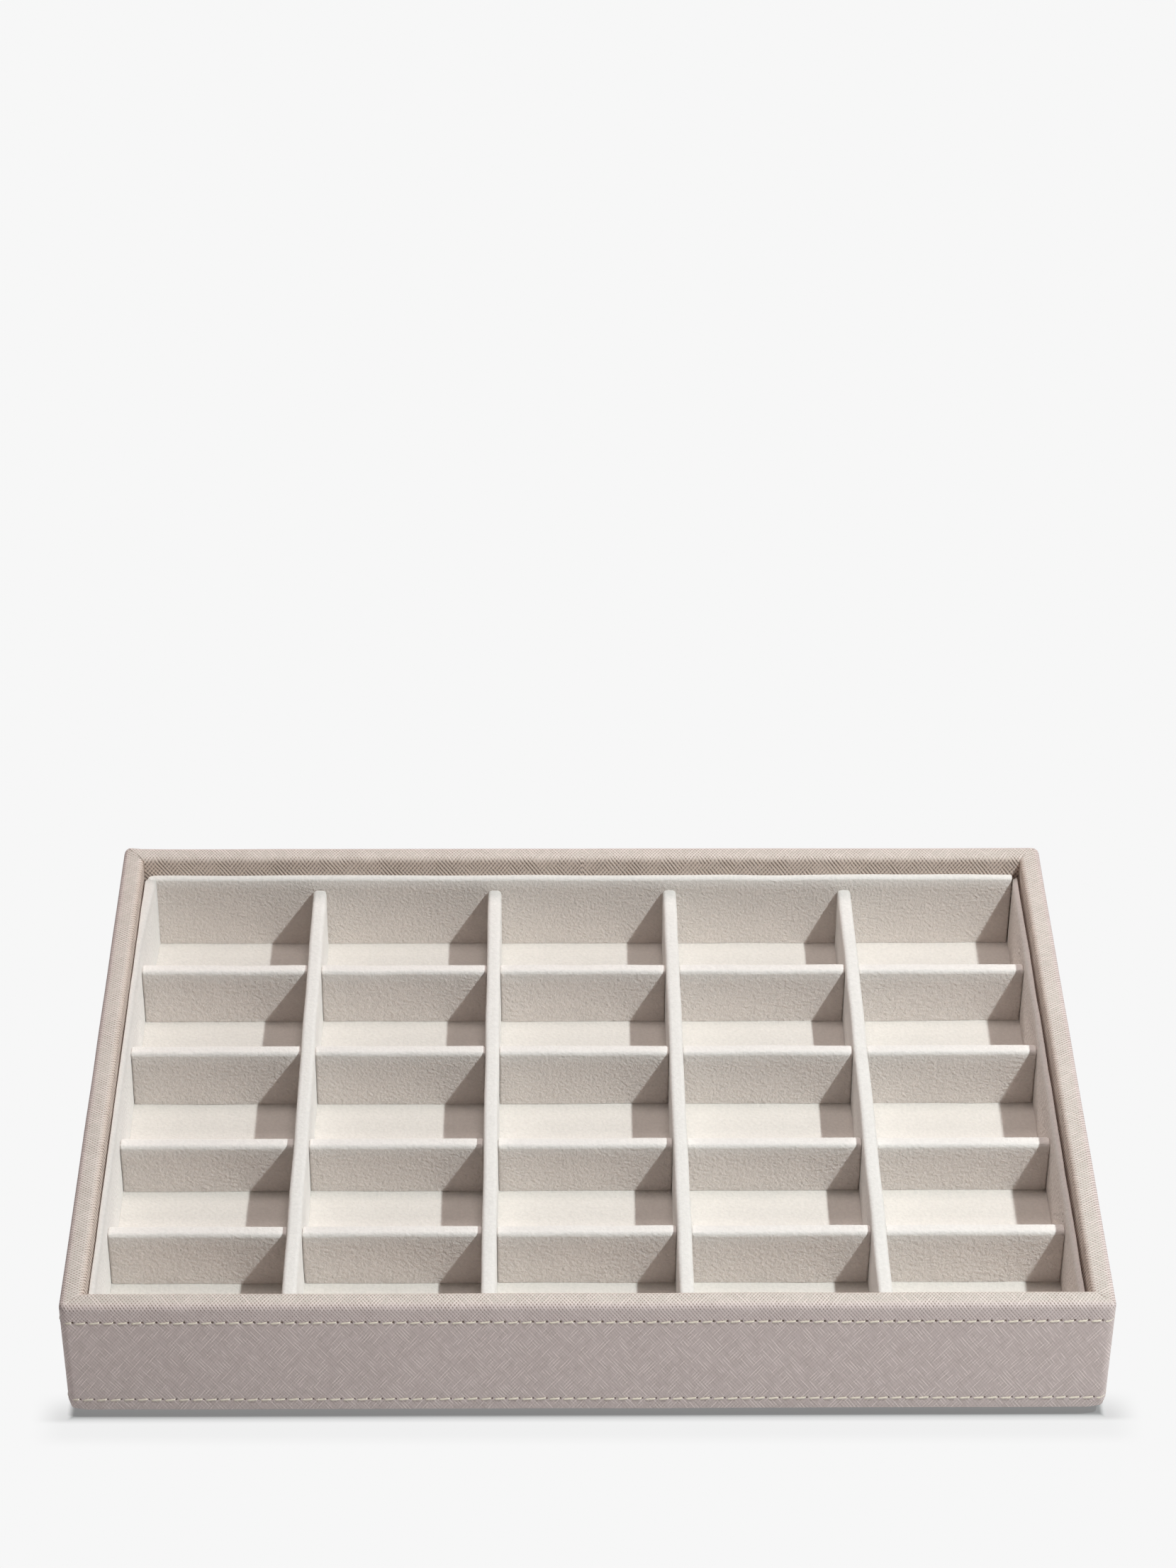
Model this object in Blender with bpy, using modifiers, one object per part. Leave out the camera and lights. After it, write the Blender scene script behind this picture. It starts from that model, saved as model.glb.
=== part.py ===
"""Open stacking tray of a jewellery box.

Four board walls in one leatherette wrap stand round a velvet floor, which strips of velvet-covered card
divide into compartments. A plinth under the tray drops into the rim of another tray of the same size.

Metres, +Z up, the front faces -Y. The origin is on the surface that the tray stands on, under the middle
of its footprint.
"""

from math import cos, pi, sin

import bmesh
import bpy

# The whole tray, measured over the leatherette. Touching pieces are modelled a small gap apart.
TRAY_LENGTH = 0.250
TRAY_DEPTH = 0.180
FIT_GAP = 0.0003

# Boards
WALL_BOARD_THICKNESS = 0.0029
BASE_BOARD_THICKNESS = 0.0028
PLINTH_BOARD_THICKNESS = 0.0016

# Stitching: two rows of thread, each sunk in a channel of the wrap.
THREAD_DIAMETER = 0.0004
CHANNEL_BACKING = 0.0003
TOP_STITCH_DROP = 0.0047
BOTTOM_STITCH_RISE = 0.0039

# Leatherette wrap: one strip that is folded over the rim and under the base and meets itself at the back.
EDGE_ROUND = 0.0015
CORNER_ROUND = 0.0020
TIGHT_ROUND = 0.0004
RIM_TURN_IN = 0.0140
BASE_TURN_IN = 0.0150

# Velvet lining. Depths are measured down from the rim.
FLOOR_DEPTH = 0.0280
FLOOR_PAD_THICKNESS = 0.0015
LINER_THICKNESS = 0.0015
LINER_TOP_DEPTH = 0.0054
DIVIDER_THICKNESS = 0.0036
COLUMN_TOP_DEPTH = 0.0090
ROW_TOP_DEPTH = 0.0103
END_SOFTENING = 0.0006

# Velvet cover of the plinth, which drops loosely into the rim of a tray below.
NESTING_CLEARANCE = 0.00075
COVER_THICKNESS = 0.0008
COVER_FOLD_ROUND = 0.0002

# Compartments across the length and the depth.
COLUMNS = 5
ROWS = 5

# Facets of the rounded shapes, and how far a cutter runs past what it cuts.
CORNER_STEPS = 4
EDGE_STEPS = 3
TOP_STEPS = 4
END_STEPS = 1
BOARD_ROUND_STEPS = 2
CUT_OVERRUN = 0.0020

# A rounding takes this share of what it rounds at the most.
TOP_ROUND_SHARE = 0.97
WALL_ROUND_SHARE = 0.45
END_ROUND_SHARE = 0.30

# Finishes: base colour and roughness.
LEATHERETTE = ((0.42, 0.35, 0.33, 1.0), 0.55)
THREAD = ((0.74, 0.66, 0.50, 1.0), 0.60)
VELVET = ((0.74, 0.69, 0.63, 1.0), 0.95)
FIBREBOARD = ((0.38, 0.28, 0.19, 1.0), 0.85)
CARD = ((0.42, 0.40, 0.37, 1.0), 0.85)

# Levels from the table up.
plinth_board_foot = COVER_THICKNESS + FIT_GAP
plinth_top = plinth_board_foot + PLINTH_BOARD_THICKNESS
wall_foot = plinth_top + FIT_GAP
leatherette_thickness = THREAD_DIAMETER + FIT_GAP + CHANNEL_BACKING
base_board_foot = wall_foot + leatherette_thickness + FIT_GAP
base_board_top = base_board_foot + BASE_BOARD_THICKNESS
floor_pad_foot = base_board_top + FIT_GAP
floor_level = floor_pad_foot + FLOOR_PAD_THICKNESS
lining_foot = floor_level + FIT_GAP
rim = floor_level + FLOOR_DEPTH
bottom_stitch_level = wall_foot + BOTTOM_STITCH_RISE
top_stitch_level = rim - TOP_STITCH_DROP

# Insets from the outer face of the wall.
board_outer_inset = leatherette_thickness + FIT_GAP
board_inner_inset = board_outer_inset + WALL_BOARD_THICKNESS
wall_thickness = board_inner_inset + FIT_GAP + leatherette_thickness
base_inset = board_inner_inset + FIT_GAP
liner_outer_inset = wall_thickness + FIT_GAP
liner_inner_inset = liner_outer_inset + LINER_THICKNESS
plinth_inset = wall_thickness + NESTING_CLEARANCE

half_length = TRAY_LENGTH / 2
half_depth = TRAY_DEPTH / 2
inner_half_length = half_length - liner_inner_inset
inner_half_depth = half_depth - liner_inner_inset
wall_edge_round = min(EDGE_ROUND, wall_thickness * WALL_ROUND_SHARE)


def clear_scene():
    for old in list(bpy.data.objects):
        bpy.data.objects.remove(old)


def new_collection(name):
    collection = bpy.data.collections.new(name)
    bpy.context.scene.collection.children.link(collection)
    return collection


def finish(piece, colour, roughness):
    """Give a piece its own Principled material."""
    material = bpy.data.materials.new(piece.name + "_finish")
    material.use_nodes = True
    shader = material.node_tree.nodes["Principled BSDF"]
    shader.inputs["Base Color"].default_value = colour
    shader.inputs["Roughness"].default_value = roughness
    shader.inputs["Metallic"].default_value = 0.0
    material.diffuse_color = colour
    piece.data.materials.append(material)


def add_piece(name, data, centre, look):
    piece = bpy.data.objects.new(name, data)
    piece.location = centre
    tray_pieces.objects.link(piece)
    finish(piece, *look)
    return piece


def mesh_from(bm, name):
    """Turn a bmesh into a mesh with its faces pointing outwards."""
    bmesh.ops.recalc_face_normals(bm, faces=bm.faces)
    mesh = bpy.data.meshes.new(name)
    bm.to_mesh(mesh)
    bm.free()
    return mesh


def cuboid(size):
    bm = bmesh.new()
    bmesh.ops.create_cube(bm, size=1.0)
    bmesh.ops.scale(bm, vec=size, verts=bm.verts)
    return bm


def span(low, high):
    """The size and the centre of the box between two corners."""
    size = [b - a for a, b in zip(low, high)]
    centre = [(a + b) / 2 for a, b in zip(low, high)]
    return size, centre


def board(name, low, high, edge_round, look):
    """A flat board with its edges taken off."""
    size, centre = span(low, high)
    piece = add_piece(name, mesh_from(cuboid(size), name), centre, look)
    rounding = piece.modifiers.new("sanded_edges", "BEVEL")
    rounding.width = edge_round
    rounding.segments = BOARD_ROUND_STEPS


def round_off(bm, edges, radius, steps):
    bmesh.ops.bevel(
        bm, geom=edges, offset=radius, segments=steps, profile=0.5, affect="EDGES", material=-1
    )


def covered_strip(name, low, high, run):
    """A card strip in velvet: its ends are softened and its top is rounded right over.

    run is the axis that the strip runs along, 0 for X and 1 for Y.
    """
    size, centre = span(low, high)
    thickness = size[1 - run]
    bm = cuboid(size)

    def lies_along(edge, axis):
        start, end = (vert.co for vert in edge.verts)
        return abs(start[axis] - end[axis]) > size[axis] / 2

    def is_high(edge):
        return all(vert.co.z > 0 for vert in edge.verts)

    upright_edges = [edge for edge in bm.edges if lies_along(edge, 2)]
    round_off(bm, upright_edges, min(END_SOFTENING, thickness * END_ROUND_SHARE), END_STEPS)
    top_edges = [edge for edge in bm.edges if lies_along(edge, run) and is_high(edge)]
    round_off(bm, top_edges, thickness / 2 * TOP_ROUND_SHARE, TOP_STEPS)
    add_piece(name, mesh_from(bm, name), centre, VELVET)


def rounded_rectangle(half_x, half_y, radius):
    """Points anticlockwise round a rectangle whose corners are arcs."""
    points = []
    for corner, (side_x, side_y) in enumerate([(1, 1), (-1, 1), (-1, -1), (1, -1)]):
        centre_x = side_x * (half_x - radius)
        centre_y = side_y * (half_y - radius)
        for step in range(CORNER_STEPS + 1):
            angle = (corner + step / CORNER_STEPS) * pi / 2
            points.append((centre_x + radius * cos(angle), centre_y + radius * sin(angle)))
    return points


def corner_round_at(inset):
    """The wrap's upright corners get tighter with the inset."""
    return max(CORNER_ROUND - inset, TIGHT_ROUND)


def arc(inset, height, radius, start, end):
    """Profile stations on an arc, whose angles are in quarter turns. Insets grow towards the middle."""
    angles = [(start + (end - start) * step / EDGE_STEPS) * pi / 2 for step in range(EDGE_STEPS + 1)]
    return [(inset + radius * cos(angle), height + radius * sin(angle)) for angle in angles]


def stitch_channel(height):
    """The channel that a row of thread lies in, cut into the outer face."""
    depth = THREAD_DIAMETER + FIT_GAP
    half_width = THREAD_DIAMETER / 2 + FIT_GAP
    return [
        (0, height - half_width), (depth, height - half_width),
        (depth, height + half_width), (0, height + half_width),
    ]


def wrap_profile():
    """The section of the wrap: out under the base, up the outer face, over the rim, and back inside it."""
    outer = wall_edge_round
    inner = max(outer - leatherette_thickness, TIGHT_ROUND)
    fold = leatherette_thickness + inner
    return [
        (BASE_TURN_IN, wall_foot),
        *arc(outer, wall_foot + outer, outer, -1, -2),
        *stitch_channel(bottom_stitch_level),
        *stitch_channel(top_stitch_level),
        *arc(outer, rim - outer, outer, 2, 1),
        *arc(wall_thickness - outer, rim - outer, outer, 1, 0),
        (wall_thickness, rim - RIM_TURN_IN),
        (wall_thickness - leatherette_thickness, rim - RIM_TURN_IN),
        *arc(wall_thickness - fold, rim - fold, inner, 0, 1),
        *arc(fold, rim - fold, inner, 1, 2),
        *arc(fold, wall_foot + fold, inner, -2, -1),
        (BASE_TURN_IN, wall_foot + leatherette_thickness),
    ]


def leatherette_wrap():
    """The wrap follows the tray's outline with its section, and its two ends butt at the back."""
    bm = bmesh.new()
    loops = []
    for inset, height in wrap_profile():
        outline = rounded_rectangle(half_length - inset, half_depth - inset, corner_round_at(inset))
        loops.append([bm.verts.new((x, y, height)) for x, y in outline])
    for loop, following in zip(loops, loops[1:] + loops[:1]):
        for here in range(len(loop)):
            bm.faces.new((loop[here - 1], loop[here], following[here], following[here - 1]))
    wrap = add_piece("leatherette_wrap", mesh_from(bm, "leatherette_wrap"), (0, 0, 0), LEATHERETTE)

    slit_low = (-FIT_GAP / 2, half_depth - BASE_TURN_IN - CUT_OVERRUN, wall_foot - CUT_OVERRUN)
    slit_high = (FIT_GAP / 2, half_depth + CUT_OVERRUN, rim + CUT_OVERRUN)
    size, centre = span(slit_low, slit_high)
    slit = bpy.data.objects.new("back_seam_cutter", mesh_from(cuboid(size), "back_seam_cutter"))
    slit.location = centre
    slit.hide_render = True
    slit.display_type = "WIRE"
    cutters.objects.link(slit)
    seam = wrap.modifiers.new("back_seam", "BOOLEAN")
    seam.operation = "DIFFERENCE"
    seam.solver = "EXACT"
    seam.object = slit


def stitching(name, height):
    """One row of thread, taken as an unbroken loop that lies flush in its channel."""
    inset = THREAD_DIAMETER / 2
    outline = rounded_rectangle(half_length - inset, half_depth - inset, corner_round_at(inset))
    path = bpy.data.curves.new(name, "CURVE")
    path.dimensions = "3D"
    path.twist_mode = "Z_UP"
    path.bevel_depth = THREAD_DIAMETER / 2
    path.bevel_resolution = 1
    spline = path.splines.new("POLY")
    spline.points.add(len(outline) - 1)
    for point, (x, y) in zip(spline.points, outline):
        point.co = (x, y, height, 1.0)
    spline.use_cyclic_u = True
    add_piece(name, path, (0, 0, 0), THREAD)


def wall_boards():
    """The front and back boards run the whole length, and the side boards stand between them."""
    low_edge = wall_foot + board_outer_inset
    high_edge = rim - board_outer_inset
    edge_round = max(CORNER_ROUND, wall_edge_round) - board_outer_inset
    edge_round = min(max(edge_round, TIGHT_ROUND), WALL_BOARD_THICKNESS * WALL_ROUND_SHARE)
    outer_x = half_length - board_outer_inset
    outer_y = half_depth - board_outer_inset
    inner_x = half_length - board_inner_inset
    inner_y = half_depth - board_inner_inset
    side_end = inner_y - FIT_GAP
    spans = {
        "front_wall_board": ((-outer_x, -outer_y), (outer_x, -inner_y)),
        "back_wall_board": ((-outer_x, inner_y), (outer_x, outer_y)),
        "left_wall_board": ((-outer_x, -side_end), (-inner_x, side_end)),
        "right_wall_board": ((inner_x, -side_end), (outer_x, side_end)),
    }
    for name, (low, high) in spans.items():
        board(name, (*low, low_edge), (*high, high_edge), edge_round, FIBREBOARD)


def base():
    """The base board lies on the wrap's turn-in, inside the walls, and carries the velvet floor pad."""
    half_x = half_length - base_inset
    half_y = half_depth - base_inset
    layers = {
        "base_board": (base_board_foot, base_board_top, FIBREBOARD),
        "floor_pad": (floor_pad_foot, floor_level, VELVET),
    }
    for name, (foot, top, look) in layers.items():
        board(name, (-half_x, -half_y, foot), (half_x, half_y, top), FIT_GAP, look)


def liners():
    """Four panels stand on the floor pad against the walls. The side ones run the whole depth."""
    top = rim - LINER_TOP_DEPTH
    outer_x = half_length - liner_outer_inset
    outer_y = half_depth - liner_outer_inset
    long_end = inner_half_length - FIT_GAP
    spans = {
        "front_liner": ((-long_end, -outer_y), (long_end, -inner_half_depth), 0),
        "back_liner": ((-long_end, inner_half_depth), (long_end, outer_y), 0),
        "left_liner": ((-outer_x, -outer_y), (-inner_half_length, outer_y), 1),
        "right_liner": ((inner_half_length, -outer_y), (outer_x, outer_y), 1),
    }
    for name, (low, high, run) in spans.items():
        covered_strip(name, (*low, lining_foot), (*high, top), run)


def evenly_spaced(half_extent, cells):
    """Centres of the dividers that share a width out among equal cells."""
    cell = (2 * half_extent - (cells - 1) * DIVIDER_THICKNESS) / cells
    pitch = cell + DIVIDER_THICKNESS
    return [(index - cells / 2) * pitch for index in range(1, cells)]


def dividers():
    """Columns run from front to back unbroken, and short row pieces stand between them."""
    half_thickness = DIVIDER_THICKNESS / 2
    column_centres = evenly_spaced(inner_half_length, COLUMNS)
    row_centres = evenly_spaced(inner_half_depth, ROWS)
    column_end = inner_half_depth - FIT_GAP
    for number, centre in enumerate(column_centres, start=1):
        low = (centre - half_thickness, -column_end, lining_foot)
        high = (centre + half_thickness, column_end, rim - COLUMN_TOP_DEPTH)
        covered_strip(f"column_divider_{number}", low, high, run=1)

    lefts = [-inner_half_length] + [centre + half_thickness for centre in column_centres]
    rights = [centre - half_thickness for centre in column_centres] + [inner_half_length]
    for row, centre in enumerate(reversed(row_centres), start=1):
        for column, (left, right) in enumerate(zip(lefts, rights), start=1):
            low = (left + FIT_GAP, centre - half_thickness, lining_foot)
            high = (right - FIT_GAP, centre + half_thickness, rim - ROW_TOP_DEPTH)
            covered_strip(f"row_divider_{row}_{column}", low, high, run=0)


def plinth():
    """The locating board hangs under the wrap's turn-in, and its velvet cover is what touches the table."""
    half_x = half_length - plinth_inset
    half_y = half_depth - plinth_inset
    board_x = half_x - plinth_board_foot
    board_y = half_y - plinth_board_foot
    board("plinth_board", (-board_x, -board_y, plinth_board_foot), (board_x, board_y, plinth_top), FIT_GAP, CARD)

    size, centre = span((-half_x, -half_y, 0), (half_x, half_y, plinth_top))
    bm = cuboid(size)
    lid = max(bm.faces, key=lambda face: face.calc_center_median().z)
    bmesh.ops.delete(bm, geom=[lid], context="FACES_ONLY")
    folds = [edge for edge in bm.edges if not edge.is_boundary]
    round_off(bm, folds, COVER_THICKNESS + COVER_FOLD_ROUND, EDGE_STEPS)
    cover = add_piece("plinth_cover", mesh_from(bm, "plinth_cover"), centre, VELVET)
    cloth = cover.modifiers.new("cloth_thickness", "SOLIDIFY")
    cloth.thickness = COVER_THICKNESS
    cloth.offset = -1.0
    cloth.use_even_offset = True


clear_scene()
tray_pieces = new_collection("stacking_jewellery_tray")
cutters = new_collection("cutters")

leatherette_wrap()
stitching("top_stitching", top_stitch_level)
stitching("bottom_stitching", bottom_stitch_level)
wall_boards()
base()
plinth()
liners()
dividers()

for piece in tray_pieces.objects:
    if piece.type == "MESH":
        piece.data.shade_smooth()
        piece.data.set_sharp_from_angle(angle=pi / 6)
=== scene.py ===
"""The look of an open stacking jewellery tray: leatherette walls, stitching and a velvet lining.

Metres, +Z up, the front faces -Y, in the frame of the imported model.
"""

import random
from math import cos, exp, pi, radians, sin

import bmesh
import bpy
from mathutils import Matrix, Vector, noise


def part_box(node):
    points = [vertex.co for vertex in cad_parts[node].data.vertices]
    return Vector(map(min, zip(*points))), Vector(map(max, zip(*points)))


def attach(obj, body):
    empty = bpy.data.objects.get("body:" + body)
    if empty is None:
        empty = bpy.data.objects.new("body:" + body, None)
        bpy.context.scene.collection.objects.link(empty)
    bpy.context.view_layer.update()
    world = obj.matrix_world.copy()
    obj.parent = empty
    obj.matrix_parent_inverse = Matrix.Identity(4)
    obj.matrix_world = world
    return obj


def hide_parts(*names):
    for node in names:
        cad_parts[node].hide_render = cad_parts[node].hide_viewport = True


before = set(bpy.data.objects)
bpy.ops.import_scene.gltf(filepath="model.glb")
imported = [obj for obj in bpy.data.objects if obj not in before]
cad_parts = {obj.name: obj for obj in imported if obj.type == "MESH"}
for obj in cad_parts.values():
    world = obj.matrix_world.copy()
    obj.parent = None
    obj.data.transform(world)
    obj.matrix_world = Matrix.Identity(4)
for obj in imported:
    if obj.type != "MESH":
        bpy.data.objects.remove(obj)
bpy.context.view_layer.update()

# Camera: a long lens that looks down on the tray from the front.
CAMERA_PLACE = (-0.010092, -0.749488, 0.671055)
CAMERA_PITCH = 0.630654
CAMERA_YAW = 0.013812
CAMERA_ROLL = 0.007034
CAMERA_SENSOR = 36.0
CAMERA_LENS = 88.268
CAMERA_NEAR = 0.01
CAMERA_FAR = 50.0

# Studio: a small key lamp at the right, in front and above, and two soft boxes above and behind.
KEY_PLACE = (0.400, -0.255, 0.740)
KEY_POWER = 23.5
KEY_RADIUS = 0.013
KEY_COLOUR = (0.933, 1.0, 1.006)
SOFT_BOXES = {"soft_box_above": ((0.0, 0.10, 0.80), 1.56), "soft_box_behind": ((0.0, 0.50, 0.60), 1.89)}
SOFT_BOX_WIDTH = 0.25
SOFT_BOX_AIM = (0.0, 0.0, 0.03)
FILL_AROUND = 0.02
FILL_COLOUR = (1.144, 1.0, 0.967)

# Ground: near white, with a painted shadow: dark in the gap under the walls and dimmer just in front of
# them. The glows are distances in front of the walls and how bright it is there.
GROUND_SIZE = 6.0
GROUND_WHITE = (0.930, 0.930, 0.930, 1.0)
GROUND_PAINTED_SHADE_UNDER = (0.140, 0.140, 0.140, 1.0)
GROUND_SHADE_START = -0.0012
GROUND_SHADE_END = 0.0009
GROUND_SHADE_LIFT = 0.31
GROUND_GLOWS = ((0.0, 0.76), (0.0018, 0.935), (0.0050, 0.935), (0.0098, 1.0))

# Leatherette wrap. Its outline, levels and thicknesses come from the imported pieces, a gap apart.
FIT_GAP = 0.0003
EDGE_ROUND = 0.0015
FOOT_ROUND = 0.0004
CORNER_ROUND = 0.0020
TIGHT_ROUND = 0.0004
RIM_TURN_IN = 0.0140
BASE_TURN_IN = 0.0150
EDGE_STEPS = 7
WALL_STEP = 0.006
STRAIGHT_MARGIN = 0.0045

# Where the wrap has points in a corner, in degrees from its mitre.
CORNER_TURNS = (0, 1.5, 3.5, 7, 12, 18, 27, 36, 45)

# Creases: the mitres of the rim and the base, and the seam at the middle of the back. The columns are
# the points beside the seam, in half widths. The shares are how deep the mitres are, anticlockwise
# from the back left.
CREASE_HALF_WIDTH = 0.00018
CREASE_DEPTH = 0.00024
CREASE_COLUMNS = (0.0, 0.35, 0.7, 1.0, 1.6)
MITRE_START = 0.0002
MITRE_FULL = 0.0012
MITRE_SHARES = (0.8, 0.12, 0.5, 0.5)

# Folds: how far the foot is drawn in round the corners, and how far the rim stands up at the back left.
FOOT_TUCK = 0.00045
EAR_HEIGHT = 0.00045
EAR_REACH = 0.0050

# Stitching: a puckered strip of the wrap and the thread in it. The rows are the strip's points across the
# seam, and the columns its points past a hole, both in half widths.
STITCH_LENGTH = 0.00330
SEAM_DROP = 0.00030
SEAM_HALF_WIDTH = 0.0011
SEAM_DEPTH = 0.0007
SEAM_ROWS = (-1.0, -0.62, -0.42, -0.26, -0.12, 0.0, 0.12, 0.26, 0.42, 0.62, 1.0)
HOLE_COLUMNS = (0.0, 0.35, 0.7, 1.0, 1.35, 2.0)
PUCKER_DEPTH = 0.00004
PUCKER_HALF_WIDTH = 0.00050
HOLE_DEPTH = 0.00045
TOP_HOLE_HALF_WIDTH = 0.00030
TOP_HOLE_HALF_HEIGHT = 0.00038
BOTTOM_HOLE_HALF_WIDTH = 0.00018
BOTTOM_HOLE_HALF_HEIGHT = 0.00024

# Thread: each stitch rises out of one hole and goes down in the next, a share of the half width from the
# middle. More of its thickness stands proud of the face at its end than at its start.
STITCH_END_SHARE = 0.6
THREAD_RADIUS = 0.00030
THREAD_DROP = 0.00022
THREAD_FLAT_SHARE = 0.65
THREAD_SLANT = 0.00050
PROUD_AT_START = 0.28
PROUD_AT_END = 0.68
THREAD_DIVE = 0.00045
CORNER_SINK = 0.00020
RISE_SHARE = 0.26
FALL_SHARE = 0.12
THREAD_SIDES = 6
THREAD_RINGS = (0.04, 0.11, 0.20, 0.32, 0.60, 0.87, 0.93, 0.97)
THREAD_JITTER = 0.00006

# The wrap's surface wanders a little, as glued leatherette does, and in the same way each time.
NOISE_SEED = 1
WANDER_DENSITY = 38.0
WANDER_HEIGHT = 0.00010

# Velvet strips: how far their edges are rounded.
ROW_ROUND = 0.00110
COLUMN_ROUND = 0.00110
LINER_ROUND = 0.00090
LINER_BACK_ROUND = 0.00035
ROW_END_ROUND = 0.0007
COLUMN_END_ROUND = 0.0011
LINER_END_ROUND = 0.0006
RIGHT_BACK_ROUND = 0.00085
FLOOR_ROUND = 0.0003
FLOOR_STEPS = 2
ROUND_STEPS = 7
END_STEPS = 4

# How far the pile fills the fitting gaps, how far the rows of dividers have settled, from the rear to the
# front, and how the liners lie at the rear.
END_PILE = 0.00028
BACK_PILE = 0.00024
FOOT_PILE = 0.00022
ROWS_SETTLED = (0.0005, 0.0003, 0.0024, 0.0012)
BACK_SHOULDER = 0.0030
SHOULDER_CUTS = 8
REAR_GAP = 0.0012
RIGHT_GAP = 0.00020
REAR_BULGE = 0.0013
BULGE_REACH = 0.030

# Velvet ripples, and is folded round the plinth.
VELVET_STEP = 0.004
RIPPLE_DENSITY = 70.0
RIPPLE_HEIGHT = 0.00016
COVER_THICKNESS = 0.0008
COVER_FOLD = 0.0011

# Tolerances. A face whose normal is this near to a strip's run is one of its ends.
SMOOTH_LIMIT = radians(35)
MERGE = 1e-7
SLIVER = 0.000004
END_FACING = 0.9

noise.seed_set(NOISE_SEED)

wrap_low, wrap_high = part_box("leatherette_wrap")
half_length, half_depth = wrap_high.x, wrap_high.y
wall_foot, rim = wrap_low.z, wrap_high.z
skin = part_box("front_wall_board")[0].y - wrap_low.y - FIT_GAP
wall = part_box("left_liner")[0].x - wrap_low.x - FIT_GAP


def middle_height(node):
    low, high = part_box(node)
    return (low.z + high.z) / 2


top_seam = middle_height("top_stitching") - SEAM_DROP
bottom_seam = middle_height("bottom_stitching") - SEAM_DROP

# Where the grain's run up the outer face reaches the rim, its flat top and the inner face.
CROWN_START = rim - EDGE_ROUND
CROWN_END = CROWN_START + EDGE_ROUND * pi / 2 + wall - 2 * EDGE_ROUND
INSIDE_START = CROWN_END + EDGE_ROUND * pi / 2


# Shading


class Value:
    """A number that changes over a surface. Arithmetic on it adds Math nodes to its finish."""

    def __init__(self, finish, socket):
        self.finish = finish
        self.socket = socket

    def maths(self, operation, *others):
        sockets = dict(enumerate((self, *others)))
        return self.finish.add("ShaderNodeMath", {"operation": operation}, sockets)

    def __add__(self, other):
        return self.maths("ADD", other)

    def __sub__(self, other):
        return self.maths("SUBTRACT", other)

    def __mul__(self, other):
        return self.maths("MULTIPLY", other)

    def __rsub__(self, other):
        return self.maths("MULTIPLY", -1.0).maths("ADD", other)

    __radd__ = __add__
    __rmul__ = __mul__


class Finish:
    """A node tree under construction."""

    def __init__(self, tree):
        self.tree = tree

    def add(self, kind, settings, sockets, output=0):
        node = self.tree.nodes.new(kind)
        for name, setting in settings.items():
            setattr(node, name, setting)
        for key, given in sockets.items():
            self.feed(node.inputs[key], given)
        return Value(self, node.outputs[output])

    def feed(self, socket, given):
        if isinstance(given, Value):
            self.tree.links.new(given.socket, socket)
        else:
            socket.default_value = given

    def place(self):
        return self.add("ShaderNodeTexCoord", {}, {}, "Object")

    def unwrapped(self, layer):
        """The two coordinates of a map that a piece carries."""
        both = self.add("ShaderNodeUVMap", {"uv_map": layer}, {})
        return self.part(both, "X"), self.part(both, "Y")

    def part(self, vector, axis):
        return self.add("ShaderNodeSeparateXYZ", {}, {0: vector}, axis)

    def vector(self, x, y, z=0.0):
        return self.add("ShaderNodeCombineXYZ", {}, {0: x, 1: y, 2: z})

    def noise(self, vector, size, detail=2.0, roughness=0.5):
        """Noise from 0 to 1 whose patches are about the given size across."""
        sockets = {"Vector": vector, "Scale": 1 / size, "Detail": detail, "Roughness": roughness}
        return self.add("ShaderNodeTexNoise", {}, sockets, "Fac")

    def wave(self, phase, period):
        """A sine from 0 to 1."""
        return (phase * (2 * pi / period)).maths("SINE") * 0.5 + 0.5

    def rise(self, number, low, high, start=0.0, end=1.0):
        """A smooth step from start to end while a number goes from low to high."""
        sockets = {"Value": number, "From Min": low, "From Max": high, "To Min": start, "To Max": end}
        return self.add("ShaderNodeMapRange", {"interpolation_type": "SMOOTHSTEP"}, sockets)

    def mix(self, first, second, amount):
        """A colour between two colours."""
        settings = {"data_type": "RGBA", "clamp_factor": True}
        return self.add("ShaderNodeMix", settings, {0: amount, 6: first, 7: second}, 2)

    def bump(self, height, distance):
        return self.add("ShaderNodeBump", {}, {"Height": height, "Distance": distance})


def new_material(name, constants):
    """A material, its Principled shader with the sockets that are constant set, and its nodes."""
    material = bpy.data.materials.new(name)
    material.use_nodes = True
    shader = material.node_tree.nodes["Principled BSDF"]
    for socket, constant in constants.items():
        shader.inputs[socket].default_value = constant
    return material, shader, Finish(material.node_tree)


# Leatherette colours: the outer face, the rim, the inner face, the strokes and the bottom of the grain.
# The rim and the inner face are the same leatherette, given colours of their own as painted light and
# shade;
# the strokes' colour is a painted highlight, and the bottom's colour also paints shade into the holes and
# creases.
LEATHER_FACE = (0.645, 0.539, 0.521, 1.0)
LEATHER_RIM_PAINTED_LIGHT = (0.512, 0.474, 0.430, 1.0)
LEATHER_INSIDE_PAINTED_LIGHT = (0.800, 0.672, 0.588, 1.0)
LEATHER_PAINTED_HIGHLIGHT = (1.0, 0.870, 0.840, 1.0)
LEATHER_DARK = (0.250, 0.195, 0.165, 1.0)

# The grain's sizes.
GRAIN_SLANT = radians(55)
GRAIN_SPACING = 0.00088
INSIDE_SPACING = 0.00107
GRAIN_DRIFT = 0.00030
DRIFT_SIZE = 0.0040
GRAIN_RELIEF = 0.00007
STREAK_WIDTH = 0.00050
STREAK_STRETCH = 10.0
SWAP_SIZE = 0.0050
FADE_SIZE = 0.0070
WEAR_SIZE = 0.0200

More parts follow.
